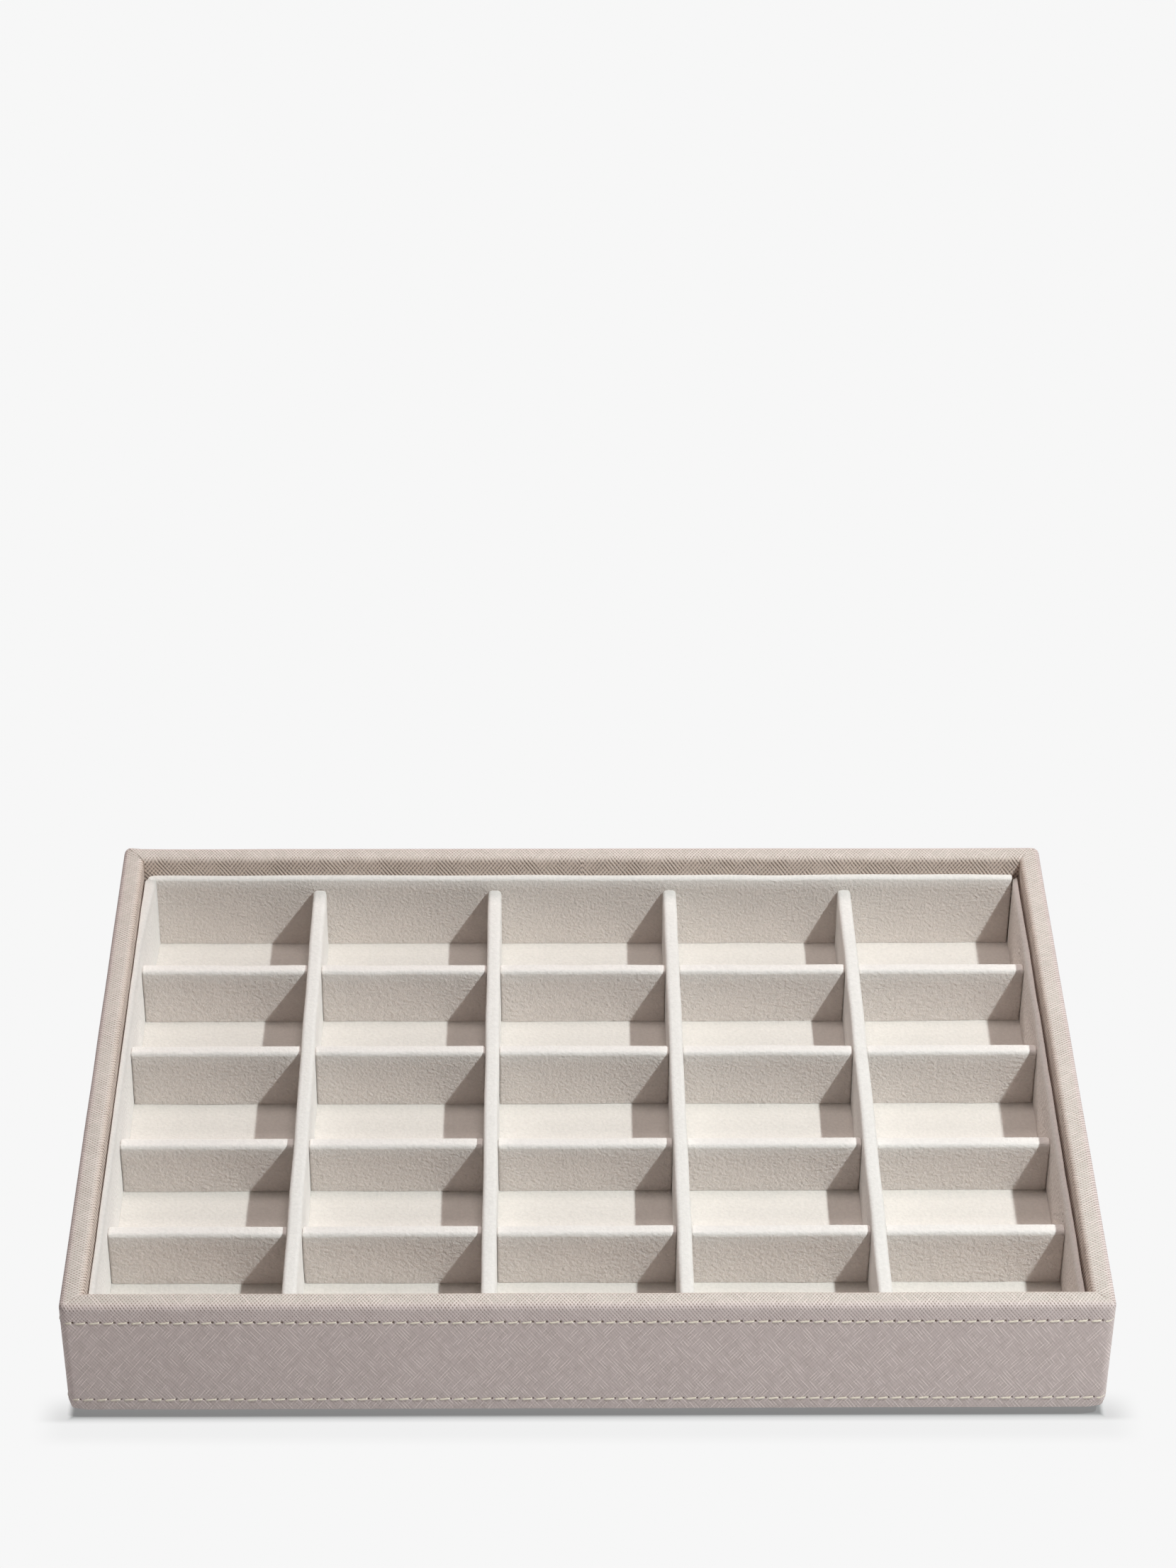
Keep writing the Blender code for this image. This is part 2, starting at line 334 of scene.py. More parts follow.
# Where a wave turns into grooves or ridges, and a noise into strokes or swapped patches. The layers keep
# the noises apart.
GROOVE_LIMITS = (0.30, 0.97)
INSIDE_GROOVE_LIMITS = (0.25, 0.92)
FIRST_RIDGE_LIMIT = 0.6
SECOND_RIDGE_LIMIT = 0.5
STROKE_LIMITS = (0.42, 0.60)
SWAP_LIMITS = (0.42, 0.58)
DRIFT_LAYER = 1.0
STREAK_LAYER = 2.0
SWAP_LAYER = 3.0

# How deep the pits and lines are. The lean is how far the second grooves take over from the first, and a
# spread is the limits of a noise and what they come out as.
TOP_LEAN = 0.5
INSIDE_LEAN = 0.7
PIT_DEPTH = 0.62
LINE_DEPTH = 0.36
INSIDE_LINE_DEPTH = 0.40
LEAN_LOSS = 0.20
PIT_SPREAD = (0.25, 0.75, 0.45, 1.35)
LINE_SPREAD = (0.3, 0.7, 0.70, 1.15)

# How far the grain is opened in each zone, and what that makes of its lines, streaks and strokes.
OPENED_ON_FACE = 0.03
OPENED_ON_BAND = 0.60
OPENED_ON_CROWN = 0.20
OPENED_INSIDE = 0.30
LINE_DARKNESS = 0.90
RIM_LINE_DARKNESS = 0.60
FIRST_STREAK_DARKNESS = 0.60
SECOND_STREAK_DARKNESS = 0.55
STREAK_LOSS = 0.75
SWAP_SHARE = 0.75
STROKE_PAINTED_HIGHLIGHT = 0.56
STROKE_LOSS = 0.30
FACE_RELIEF = 0.30
STREAK_RELIEF = 0.35

# How dark the leatherette is between the lines, and how it takes the light. It is paler above the top
# seam.
# The rim's paleness and the inner face's darkness are painted light and shade, and the holes' and
# creases' darkness is painted shade.
WEAR_DARKNESS = 0.08
FACE_DARKNESS = 0.22
BAND_PALENESS = 0.18
RIM_PAINTED_LIGHT = 0.09
INSIDE_PAINTED_SHADE = 0.03
HOLE_AND_CREASE_PAINTED_SHADE = 0.9
LEATHER_CONSTANTS = {"Specular IOR Level": 0.35}
LEATHER_ROUGHNESS = 0.52
LINE_ROUGHNESS = 0.20


def grain_zones(finish, across):
    """How far the grain is past the top seam, past the rim's curve, on the rim's top and inside."""
    on_band = finish.rise(across, top_seam - GRAIN_SPACING, top_seam + GRAIN_SPACING)
    on_crown = finish.rise(across, CROWN_START - EDGE_ROUND / 2, CROWN_START + EDGE_ROUND)
    on_top = finish.rise(across, CROWN_START + EDGE_ROUND / 2, CROWN_START + 2 * EDGE_ROUND)
    inside = finish.rise(across, CROWN_END, INSIDE_START)
    return on_band, on_crown, on_top, inside


def leatherette_finish():
    """Cross-grained leatherette: grooves one way, fainter ones the other way, and pits where they cross.

    The grain is stretched flat on the outer face, opens over the rim and is deepest inside the walls.
    """
    material, shader, finish = new_material("leatherette", LEATHER_CONSTANTS)
    along, across = finish.unwrapped("grain")
    sunk, _ = finish.unwrapped("sunk")
    on_band, on_crown, on_top, inside = grain_zones(finish, across)
    on_rim = on_crown - inside
    flat = finish.vector(along, across)
    turned = finish.vector(across, along, DRIFT_LAYER)
    first_drift = (finish.noise(flat, DRIFT_SIZE) - 0.5) * GRAIN_DRIFT
    second_drift = (finish.noise(turned, DRIFT_SIZE) - 0.5) * GRAIN_DRIFT
    steep, level = sin(GRAIN_SLANT), cos(GRAIN_SLANT)
    first_way = along * steep + across * level + first_drift
    second_way = along * steep - across * level + second_drift

    def grooves(way):
        outer = finish.rise(finish.wave(way, GRAIN_SPACING * steep), *GROOVE_LIMITS)
        inner = finish.rise(finish.wave(way, INSIDE_SPACING * steep), *INSIDE_GROOVE_LIMITS)
        return outer + (inner - outer) * inside

    def streaks_and_strokes(way, down, layer, ridge_limit):
        """Long soft streaks down the grain, and the pale strokes where they meet its ridges: grain, and a
        painted highlight on the ridges.
        """
        spot = finish.vector(way * STREAK_STRETCH, down, layer)
        streaks = finish.noise(spot, STREAK_WIDTH * STREAK_STRETCH, 1.0)
        ridges = finish.rise(finish.wave(way, GRAIN_SPACING * steep), 0.0, ridge_limit, 1.0, 0.0)
        return streaks - 0.5, ridges * finish.rise(streaks, *STROKE_LIMITS)

    swap_spot = finish.vector(along, across, SWAP_LAYER)
    swapped = finish.rise(finish.noise(swap_spot, SWAP_SIZE, 1.0), *SWAP_LIMITS)
    lean = on_top * (TOP_LEAN + (swapped * INSIDE_LEAN - TOP_LEAN) * inside)
    first, second = grooves(first_way), grooves(second_way)
    uneven = finish.rise(finish.noise(flat, GRAIN_SPACING), *PIT_SPREAD)
    pits = first * second * uneven * (PIT_DEPTH - lean * LEAN_LOSS)
    line_depth = LINE_DEPTH - lean * LEAN_LOSS + inside * INSIDE_LINE_DEPTH
    lines = pits + (first + (second - first) * lean) * line_depth

    first_streaks, first_strokes = streaks_and_strokes(
        first_way, along * level - across * steep, 0.0, FIRST_RIDGE_LIMIT
    )
    second_streaks, second_strokes = streaks_and_strokes(
        second_way, along * level + across * steep, STREAK_LAYER, SECOND_RIDGE_LIMIT
    )
    streaks = first_streaks * FIRST_STREAK_DARKNESS + second_streaks * SECOND_STREAK_DARKNESS
    swap = swapped * SWAP_SHARE
    strokes = first_strokes * (1.0 - swap) + second_strokes * (1.0 - SWAP_SHARE + swap)

    opened_grain_and_painted_crest = OPENED_ON_FACE + on_band * OPENED_ON_BAND
    opened_grain_and_painted_crest = opened_grain_and_painted_crest + on_crown * OPENED_ON_CROWN + inside * OPENED_INSIDE
    faded = finish.rise(finish.noise(flat, FADE_SIZE), *LINE_SPREAD)
    worn = (finish.noise(flat, WEAR_SIZE) - 0.5) * WEAR_DARKNESS
    # The rim is made paler and the inner face darker: painted light and shade.
    between = FACE_DARKNESS - on_band * BAND_PALENESS - on_rim * RIM_PAINTED_LIGHT + inside * INSIDE_PAINTED_SHADE
    dark = lines * faded * opened_grain_and_painted_crest * (LINE_DARKNESS + on_rim * RIM_LINE_DARKNESS)
    # Painted shade: the holes and creases get darker the deeper they sink.
    dark = dark + streaks * (1.0 - opened_grain_and_painted_crest * STREAK_LOSS) + worn + between + sunk * sunk * HOLE_AND_CREASE_PAINTED_SHADE
    # Painted light and shade: the rim's top and the inner face take colours of their own.
    outside = finish.mix(LEATHER_FACE, LEATHER_RIM_PAINTED_LIGHT, on_top)
    light = finish.mix(outside, LEATHER_INSIDE_PAINTED_LIGHT, inside)
    worked = finish.mix(light, LEATHER_DARK, dark)
    # Painted highlight: the pale strokes on the ridges, over the grain's pattern.
    painted_highlight = strokes * (STROKE_PAINTED_HIGHLIGHT - opened_grain_and_painted_crest * STROKE_LOSS)
    relief = 1.0 - lines * (FACE_RELIEF + opened_grain_and_painted_crest * (1 - FACE_RELIEF)) - streaks * STREAK_RELIEF
    finish.feed(shader.inputs["Base Color"], finish.mix(worked, LEATHER_PAINTED_HIGHLIGHT, painted_highlight))
    finish.feed(shader.inputs["Normal"], finish.bump(relief, GRAIN_RELIEF))
    finish.feed(shader.inputs["Roughness"], LEATHER_ROUGHNESS + lines * LINE_ROUGHNESS)
    return material


VELVET_CONSTANTS = {
    "Roughness": 1.0,
    "Specular IOR Level": 0.1,
    "Sheen Weight": 0.6,
    "Sheen Roughness": 0.7,
    "Sheen Tint": (0.90, 0.87, 0.83, 1.0),
}
NAP_SIZE = 0.00088
NAP_ROUGHNESS = 0.6
NAP_LIMITS = (0.25, 0.75)
NAP_SHARE = 0.08
NAP_RELIEF = 0.00052
SMOOTH_NAP_RELIEF = 0.00028
CREST_RELIEF_LOSS = 0.5
BRUSH_SIZE = 0.0090
BRUSHED_SHARE = 0.4
PAINTED_CREST_DEPTH = 0.0019
PAINTED_CREST_FULL = 0.0003

# Each velvet's colour, the colour of its crest, and the relief of its nap. The row, column, back and left
# velvets are lighter and darker copies of one velvet, and their crests differ from their sides, painted
# to how the light falls on each: painted light and shade.
VELVETS = {
    "floor": ((0.719, 0.680, 0.636), (0.719, 0.680, 0.636), SMOOTH_NAP_RELIEF),
    "row": ((0.690, 0.627, 0.588), (0.724, 0.700, 0.672), NAP_RELIEF),
    "column": ((0.722, 0.710, 0.693), (0.692, 0.685, 0.659), SMOOTH_NAP_RELIEF),
    "back": ((0.704, 0.638, 0.594), (0.818, 0.791, 0.759), NAP_RELIEF),
    "left": ((0.722, 0.710, 0.693), (0.590, 0.580, 0.558), SMOOTH_NAP_RELIEF),
    "plinth": ((0.600, 0.560, 0.530), (0.600, 0.560, 0.530), SMOOTH_NAP_RELIEF),
}


def velvet_finish(name, colour, crest, nap_relief):
    """Short-pile velvet: a fine speckled nap, and faint brushed patches. Along its top crest the colour
    is painted lighter or darker to stand in for the light there.
    """
    material, shader, finish = new_material(name, VELVET_CONSTANTS)
    place = finish.place()
    nap = finish.noise(place, NAP_SIZE, roughness=NAP_ROUGHNESS)
    brushed = finish.noise(place, BRUSH_SIZE)
    light = finish.rise(nap, *NAP_LIMITS) * (1 - BRUSHED_SHARE) + brushed * BRUSHED_SHARE
    # How far a point lies in the crest along the top, where the colour turns to the crest's painted light
    # or shade.
    opened_grain_and_painted_crest, _ = finish.unwrapped("pile")
    ends = []
    for share in (1 - NAP_SHARE, 1 + NAP_SHARE):
        low, high = ((*(share * part for part in shade), 1.0) for shade in (colour, crest))
        ends.append(finish.mix(low, high, opened_grain_and_painted_crest))
    finish.feed(shader.inputs["Base Color"], finish.mix(*ends, light))
    height = nap * (1.0 - opened_grain_and_painted_crest * CREST_RELIEF_LOSS)
    finish.feed(shader.inputs["Normal"], finish.bump(height, nap_relief))
    return material


THREAD_CONSTANTS = {"Roughness": 0.4, "Specular IOR Level": 0.7}
THREAD_LIGHT = (1.0, 0.90, 0.76, 1.0)
THREAD_DARK = (0.88, 0.77, 0.62, 1.0)
PLY_PITCH = 0.0004
PLY_RELIEF = 0.00004
PLY_SHADE = 0.7


def thread_finish():
    """Twisted sewing thread, darker in the lines between its plies."""
    material, shader, finish = new_material("sewing_thread", THREAD_CONSTANTS)
    along, around = finish.unwrapped("twist")
    plies = finish.wave(along + around, PLY_PITCH)
    shade = finish.rise(plies, 0.0, PLY_SHADE)
    finish.feed(shader.inputs["Base Color"], finish.mix(THREAD_DARK, THREAD_LIGHT, shade))
    finish.feed(shader.inputs["Normal"], finish.bump(plies, PLY_RELIEF))
    return material


FIBREBOARD_LIGHT = (0.46, 0.34, 0.23, 1.0)
FIBREBOARD_DARK = (0.27, 0.19, 0.12, 1.0)
FIBREBOARD_FIBRE = 0.0006
CARD_LIGHT = (0.50, 0.48, 0.44, 1.0)
CARD_DARK = (0.32, 0.30, 0.27, 1.0)
CARD_FIBRE = 0.0004
FELT_DETAIL = 4.0
FELT_GRAININESS = 0.7
FELT_SHARE = 0.7
FELT_LIMITS = (0.3, 0.7)
FELT_RELIEF = 0.00005
MOTTLE_FIBRES = 12
BOARD_CONSTANTS = {"Specular IOR Level": 0.2}
BOARD_ROUGHNESS = 0.80
FELT_ROUGHNESS = 0.15


def board_finish(name, light, dark, fibre):
    """Pressed board: a felt of short fibres, mottled by larger patches."""
    material, shader, finish = new_material(name, BOARD_CONSTANTS)
    place = finish.place()
    felt = finish.noise(place, fibre, FELT_DETAIL, FELT_GRAININESS)
    mottled = felt * FELT_SHARE + finish.noise(place, fibre * MOTTLE_FIBRES) * (1 - FELT_SHARE)
    finish.feed(shader.inputs["Base Color"], finish.mix(dark, light, finish.rise(mottled, *FELT_LIMITS)))
    finish.feed(shader.inputs["Roughness"], BOARD_ROUGHNESS + felt * FELT_ROUGHNESS)
    finish.feed(shader.inputs["Normal"], finish.bump(felt, FELT_RELIEF))
    return material


# Shapes


def add_piece(name, bm, material, nodes):
    """Make a piece of the tray from a bmesh. It stands for the nodes that are named."""
    mesh = bpy.data.meshes.new(name)
    bm.to_mesh(mesh)
    bm.free()
    mesh.materials.append(material)
    mesh.shade_smooth()
    mesh.set_sharp_from_angle(angle=SMOOTH_LIMIT)
    piece = bpy.data.objects.new(name, mesh)
    bpy.context.scene.collection.objects.link(piece)
    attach(piece, "root")
    if nodes:
        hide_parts(*nodes)
    return piece


def wander(place):
    """Where a point of the wrap really is, once it is glued down by hand."""
    return place + noise.noise_vector(place * WANDER_DENSITY) * WANDER_HEIGHT


def smooth_step(number, low, high):
    share = min(max((number - low) / (high - low), 0.0), 1.0)
    return share * share * (3 - 2 * share)


def corner_round_at(inset):
    """The radius of the wrap's upright corners, which get tighter with the inset."""
    return max(CORNER_ROUND - inset, TIGHT_ROUND)


class Side:
    """One wall from above, its outward direction and the direction anticlockwise along it."""

    def __init__(self, quarter):
        turn = pi / 2 * (quarter + 1)
        self.out = Vector((round(cos(turn)), round(sin(turn)), 0))
        self.along = Vector((-self.out.y, self.out.x, 0))
        self.reach = half_length if quarter % 2 else half_depth
        self.half_run = half_depth if quarter % 2 else half_length
        self.straight = self.half_run - CORNER_ROUND

    def along_at(self, along, inset):
        """A distance along the wall, kept short of the mitres, which close in with the inset."""
        end = self.half_run - inset - corner_round_at(inset)
        return min(max(along, -end), end)


# The back twice, because the way round starts and ends at its middle.
sides = [Side(quarter) for quarter in range(5)]
corner_length = CORNER_ROUND * pi / 2
middles = [0.0]
for before, after in zip(sides, sides[1:]):
    middles.append(middles[-1] + before.straight + corner_length + after.straight)
way_round = middles[-1]


def station_at(distance):
    """The side, the distance along it and the turn round its end, for a distance along the outer face."""
    for number, side in enumerate(sides):
        past_middle = distance - middles[number]
        if past_middle <= side.straight:
            return number, past_middle, None
        if past_middle < side.straight + corner_length:
            return number, None, (past_middle - side.straight) / CORNER_ROUND
    return len(sides) - 1, 0.0, None


def wall_point(station, inset, height):
    """A point at an inset from the wall's outer face."""
    number, along, turn = station
    side = sides[number]
    if turn is None:
        flat = side.out * (side.reach - inset) + side.along * side.along_at(along, inset)
    else:
        radius = corner_round_at(inset)
        flat = side.out * (side.reach - inset - radius) + side.along * (side.half_run - inset - radius)
        flat += (side.out * cos(turn) + side.along * sin(turn)) * radius
    return Vector((flat.x, flat.y, height))


def grain_along(station, inset, seen_from):
    """How far round the wrap a point lies, on the side that a face belongs to."""
    number, along, turn = station
    if turn is None:
        return middles[number] + sides[number].along_at(along, inset)
    radius = corner_round_at(inset)
    if seen_from == number:
        return middles[number] + sides[number].half_run - inset - radius + radius * turn
    return middles[number + 1] - (sides[number + 1].half_run - inset - radius) - radius * (pi / 2 - turn)


def ring(stations, profile, heights, sunk):
    """Carry a closed section round the walls. Its points are insets and heights.

    The heights are those of the grain at each point. For a station and a row of the section, sunk says
    where that point lies and how deep it is pressed in.
    """
    bm = bmesh.new()
    bmesh.ops.create_grid(bm, x_segments=len(stations) - 1, y_segments=len(profile) - 1, size=1.0)
    bm.verts.ensure_lookup_table()
    grain = bm.loops.layers.uv.new("grain")
    depths = bm.loops.layers.uv.new("sunk")
    columns = len(stations)
    for face in bm.faces:
        spots = [divmod(loop.vert.index, columns) for loop in face.loops]
        first = min(column for _, column in spots)
        number, _, turn = stations[first]
        past_mitre = turn is not None and turn > pi / 4 - MERGE
        seen_from = number + 1 if past_mitre else number
        for loop, (row, column) in zip(face.loops, spots):
            station = stations[column]
            if station[2] is None and station[0] != seen_from:
                along = grain_along(station, 0, seen_from)
            else:
                along = grain_along(station, profile[row][0], seen_from)
            loop[grain].uv = (along, heights[row])
            # The depth goes into a map from which the leatherette paints shade into the holes and
            # creases.
            loop[depths].uv = (sunk(station, row)[2] / HOLE_DEPTH, 0)
    for vert in bm.verts:
        row, column = divmod(vert.index, columns)
        inset, height, _ = sunk(stations[column], row)
        vert.co = wander(wall_point(stations[column], inset, height))
    bmesh.ops.remove_doubles(bm, verts=bm.verts, dist=MERGE)
    return bm


def arc(inset, height, radius, start, end):
    """Profile points on an arc, whose angles are in quarter turns. Insets grow towards the middle."""
    angles = [(start + (end - start) * step / EDGE_STEPS) * pi / 2 for step in range(EDGE_STEPS + 1)]
    return [(inset + radius * cos(angle), height + radius * sin(angle)) for angle in angles]


def seam_channel(height):
    """The channel of the wrap that a seam's strip fills."""
    low, high = height - SEAM_HALF_WIDTH, height + SEAM_HALF_WIDTH
    return [(0, low), (SEAM_DEPTH, low), (SEAM_DEPTH, high), (0, high)]


def wrap_profile():
    """The wrap's section: what shows, out under the base, up and over the rim, and what is hidden."""
    outer = EDGE_ROUND
    inner = max(outer - skin, TIGHT_ROUND)
    fold = skin + inner
    shown = [
        (BASE_TURN_IN, wall_foot),
        (outer * 2, wall_foot),
        *arc(FOOT_ROUND, wall_foot + FOOT_ROUND, FOOT_ROUND, -1, -2),
        *seam_channel(bottom_seam),
        *seam_channel(top_seam),
        *arc(outer, rim - outer, outer, 2, 1),
        (wall / 2, rim),
        *arc(wall - outer, rim - outer, outer, 1, 0),
        (wall, rim - RIM_TURN_IN / 2),
        (wall, rim - RIM_TURN_IN),
    ]
    hidden = [
        (wall - skin, rim - RIM_TURN_IN),
        *arc(wall - fold, rim - fold, inner, 0, 1),
        *arc(fold, rim - fold, inner, 1, 2),
        *arc(fold, wall_foot + fold, inner, -2, -1),
        (BASE_TURN_IN, wall_foot + skin),
        (BASE_TURN_IN, wall_foot),
    ]
    return shown, hidden


def outward(profile, row):
    """The direction out of the section at one of its points."""
    before, after = Vector(profile[row - 1]), Vector(profile[(row + 1) % len(profile)])
    run = (after - before).normalized()
    return Vector((-run.y, run.x))


def corner_turns():
    before = [pi / 4 - radians(turn) for turn in reversed(CORNER_TURNS)]
    return before + [pi / 4 + radians(turn) for turn in CORNER_TURNS[1:]]


def wall_stations():
    """Stations for the plain wrap, which are close together at the corners and at the back's seam."""
    stations = []
    last = len(sides) - 1
    seam_start = [(0, share * CREASE_HALF_WIDTH, None) for share in CREASE_COLUMNS]
    seam_end = [(last, -share * CREASE_HALF_WIDTH, None) for share in reversed(CREASE_COLUMNS)]
    for number, side in enumerate(sides):
        reach = side.half_run - STRAIGHT_MARGIN
        steps = round(2 * reach / WALL_STEP)
        run = [-reach + 2 * reach * step / steps for step in range(steps + 1)]
        if number == 0:
            stations += seam_start
            run = [along for along in run if along > WALL_STEP / 2]
        if number == last:
            run = [along for along in run if along < -WALL_STEP / 2]
        stations += [(number, along, None) for along in run]
        if number < last:
            stations += [(number, None, turn) for turn in corner_turns()]
    return stations + seam_end


def ear(station, inset, height):
    """How far the folded leatherette stands up round the tip of the back left corner."""
    corner = Vector((-half_length, half_depth, 0))
    from_tip = (corner - wall_point(station, 0, 0)).length - CORNER_ROUND / 2
    near = 1 - smooth_step(from_tip, 0, EAR_REACH)
    near *= smooth_step(height, CROWN_START, rim) * (1 - smooth_step(inset, EDGE_ROUND, wall))
    return EAR_HEIGHT * near


def tuck(station):
    """How far the foot is drawn in round the corners, where the leatherette is folded under."""
    number, along, turn = station
    from_corner = 0.0 if turn is not None else sides[number].straight - abs(along)
    return FOOT_TUCK * (1 - smooth_step(from_corner, 0, STRAIGHT_MARGIN - CORNER_ROUND))


def crease(station, inset, height):
    """How deep the wrap dips at its mitres and at the upright seam in the middle of the back."""
    number, along, turn = station
    if turn is not None:
        off_line = corner_round_at(inset) * sin(abs(turn - pi / 4))
        share = smooth_step(inset, MITRE_START, MITRE_FULL) * MITRE_SHARES[number]
    elif number in (0, len(sides) - 1):
        off_line = abs(along)
        share = 1 - smooth_step(height, top_seam, CROWN_START)
        share *= 1 - smooth_step(inset, skin, wall)
    else:
        return 0.0
    return CREASE_DEPTH * share * max(0.0, 1 - off_line / CREASE_HALF_WIDTH)


def grain_heights(profile, face_start, face_end):
    """Where the grain is at each point of the section: its height, or a length past the outer face."""
    run = [0.0]
    for here, there in zip(profile, profile[1:]):
        run.append(run[-1] + (Vector(there) - Vector(here)).length)
    below = [length - run[face_start] + profile[face_start][1] for length in run[:face_start]]
    on_face = [height for _, height in profile[face_start:face_end]]
    above = [length - run[face_end] + profile[face_end][1] for length in run[face_end:]]
    return below + on_face + above


def leatherette_wrap(material):
    """The wrap without the strips that the stitches draw in."""
    shown, hidden = wrap_profile()
    profile = shown + hidden
    on_face = [row for row, (inset, _) in enumerate(shown) if inset < MERGE]
    heights = grain_heights(profile, on_face[0], on_face[-1])

    def sunk(station, row):
        inset, height = profile[row]
        if not 0 < row < len(shown):
            return inset, height, 0.0
        depth = crease(station, inset, height)
        way_in = -outward(profile, row) * depth
        lift = ear(station, inset, height)
        drawn_in = tuck(station) if height < wall_foot + FOOT_ROUND + MERGE else 0.0
        return inset + way_in.x + drawn_in, height + way_in.y + lift, depth

    bm = ring(wall_stations(), profile, heights, sunk)
    add_piece("leatherette_wrap_panel", bm, material, ["leatherette_wrap"])


def stitch_holes():
    """How far round the wrap each hole lies. The last one is the first one again."""
    count = round(way_round / STITCH_LENGTH)
    return [way_round * number / count for number in range(count + 1)]


def seam_strip(name, seam, hole_half_width, hole_half_height, material):
    """The strip of the wrap that a row of stitches draws in."""
    holes = stitch_holes()
    pitch = holes[1]
    offsets = [share * hole_half_width for share in HOLE_COLUMNS] + [pitch / 2]
    offsets += [pitch - offset for offset in reversed(offsets[1:-1])]
    distances = {hole + offset for hole in holes[:-1] for offset in offsets} | {way_round}
    for number, side in enumerate(sides[:-1]):
        distances |= {middles[number] + side.straight + CORNER_ROUND * turn for turn in corner_turns()}
    distances = sorted(distances)
    stations = [station_at(distance) for distance in distances]
    face = [(0.0, seam + share * SEAM_HALF_WIDTH) for share in SEAM_ROWS]
    low, high = seam - SEAM_HALF_WIDTH, seam + SEAM_HALF_WIDTH
    profile = [(SEAM_DEPTH, low), *face, (SEAM_DEPTH, high), (SEAM_DEPTH, low)]
    heights = [height for _, height in profile]
    past_hole = [min(distance % pitch, pitch - distance % pitch) for distance in distances]
    column_of = {station: column for column, station in enumerate(stations)}

    def sunk(station, row):
        inset, height = profile[row]
        if not 1 <= row <= len(face):
            return inset, height, 0.0
        off_seam = height - seam
        fade = (1 - (off_seam / SEAM_HALF_WIDTH) ** 2) ** 2
        pucker = PUCKER_DEPTH * exp(-((off_seam / PUCKER_HALF_WIDTH) ** 2))
        across = (past_hole[column_of[station]] / hole_half_width) ** 2
        hole = HOLE_DEPTH * exp(-((across + (off_seam / hole_half_height) ** 2) ** 2))
        depth = fade * (pucker + hole)
        return inset + depth, height, depth

    bm = ring(stations, profile, heights, sunk)
    add_piece(name, bm, material, [])


def stitch_form():
    """One stitch, a unit long and a unit in radius, from 0 up Z."""
    bm = bmesh.new()
    bmesh.ops.create_cone(bm, cap_ends=True, segments=THREAD_SIDES, radius1=1.0, radius2=1.0, depth=1.0)
    bmesh.ops.translate(bm, vec=(0, 0, 0.5), verts=bm.verts)
    for share in THREAD_RINGS:
        cut_across(bm, (0, 0, share), 2)
    mesh = bpy.data.meshes.new("stitch_form")
    bm.to_mesh(mesh)
    bm.free()
    return mesh


def stitches(name, seam, hole_half_width, node, material):
    """A row of separate stitches, each of which rises out of one hole and goes down in the next."""
    form = stitch_form()
    thread_half_depth = THREAD_RADIUS * THREAD_FLAT_SHARE
    end = hole_half_width * STITCH_END_SHARE
    chance = random.Random(name)
    bm = bmesh.new()
    twist = bm.loops.layers.uv.new("twist")
    holes = stitch_holes()
    for here, there in zip(holes, holes[1:]):
        start = here + end
        length = there - end - start
        lift = chance.uniform(-1, 1) * THREAD_JITTER
        slant = THREAD_SLANT + chance.uniform(-1, 1) * THREAD_JITTER
        known = len(bm.verts)
        known_faces = len(bm.faces)
        bm.from_mesh(form)
        bm.verts.ensure_lookup_table()
        bm.faces.ensure_lookup_table()
        for face in bm.faces[known_faces:]:
            for loop in face.loops:
                spot = loop.vert.co
                turn = Vector((spot.x, spot.y)).angle_signed(Vector((1, 0)), 0.0)
                loop[twist].uv = (spot.z * length, turn * THREAD_RADIUS)
        for vert in bm.verts[known:]:
            spot = vert.co.copy()
            risen = smooth_step(spot.z, 0.0, RISE_SHARE) * smooth_step(1 - spot.z, 0.0, FALL_SHARE)
            proud = PROUD_AT_START + (PROUD_AT_END - PROUD_AT_START) * spot.z
            inset = thread_half_depth * (1 - 2 * proud + spot.x) + THREAD_DIVE * (1 - risen)
            height = seam - THREAD_DROP + lift + slant * (spot.z - 0.5) + spot.y * THREAD_RADIUS
            station = station_at(start + spot.z * length)
            if station[2] is not None:
                inset += CORNER_SINK * sin(2 * station[2])
            vert.co = wander(wall_point(station, inset, height))
    bpy.data.meshes.remove(form)
    bmesh.ops.recalc_face_normals(bm, faces=bm.faces)
    add_piece(name, bm, material, [node])


def block(low, high):
    bm = bmesh.new()
    bmesh.ops.create_cube(bm, size=1.0)
    bmesh.ops.scale(bm, vec=high - low, verts=bm.verts)
    bmesh.ops.translate(bm, vec=(low + high) / 2, verts=bm.verts)
    return bm


def round_off(bm, edges, radius, steps):
    form = {"segments": steps, "profile": 0.5, "affect": "EDGES", "material": -1}
    bmesh.ops.bevel(bm, geom=edges, offset=radius, **form)


def cut_across(bm, spot, axis):
    """Cut a whole form at a spot, square to an axis."""
    everything = bm.verts[:] + bm.edges[:] + bm.faces[:]
    bmesh.ops.bisect_plane(bm, geom=everything, plane_co=spot, plane_no=(axis == 0, axis == 1, axis == 2))


def slice_along(bm, axis, low, high):
    """Cut a form into short lengths, so that it can ripple."""
    count = round((high[axis] - low[axis]) / VELVET_STEP)
    for number in range(1, count):
        cut_across(bm, low.lerp(high, number / count), axis)


def ripple(bm):
    for vert in bm.verts:
        vert.co += noise.noise_vector(vert.co * RIPPLE_DENSITY) * RIPPLE_HEIGHT


def round_in_plan(bm, corner, inward, radius):
    """Pull in what lies near an upright corner, so that the corner is round from above."""
    centre = corner + inward * radius
    for vert in bm.verts:
        off = Vector((vert.co.x - centre.x, vert.co.y - centre.y, 0))
        if off.x * inward.x < 0 and off.y * inward.y < 0:
            shrunk = off * (max(abs(off.x), abs(off.y)) / off.length)
            vert.co.x, vert.co.y = centre.x + shrunk.x, centre.y + shrunk.y


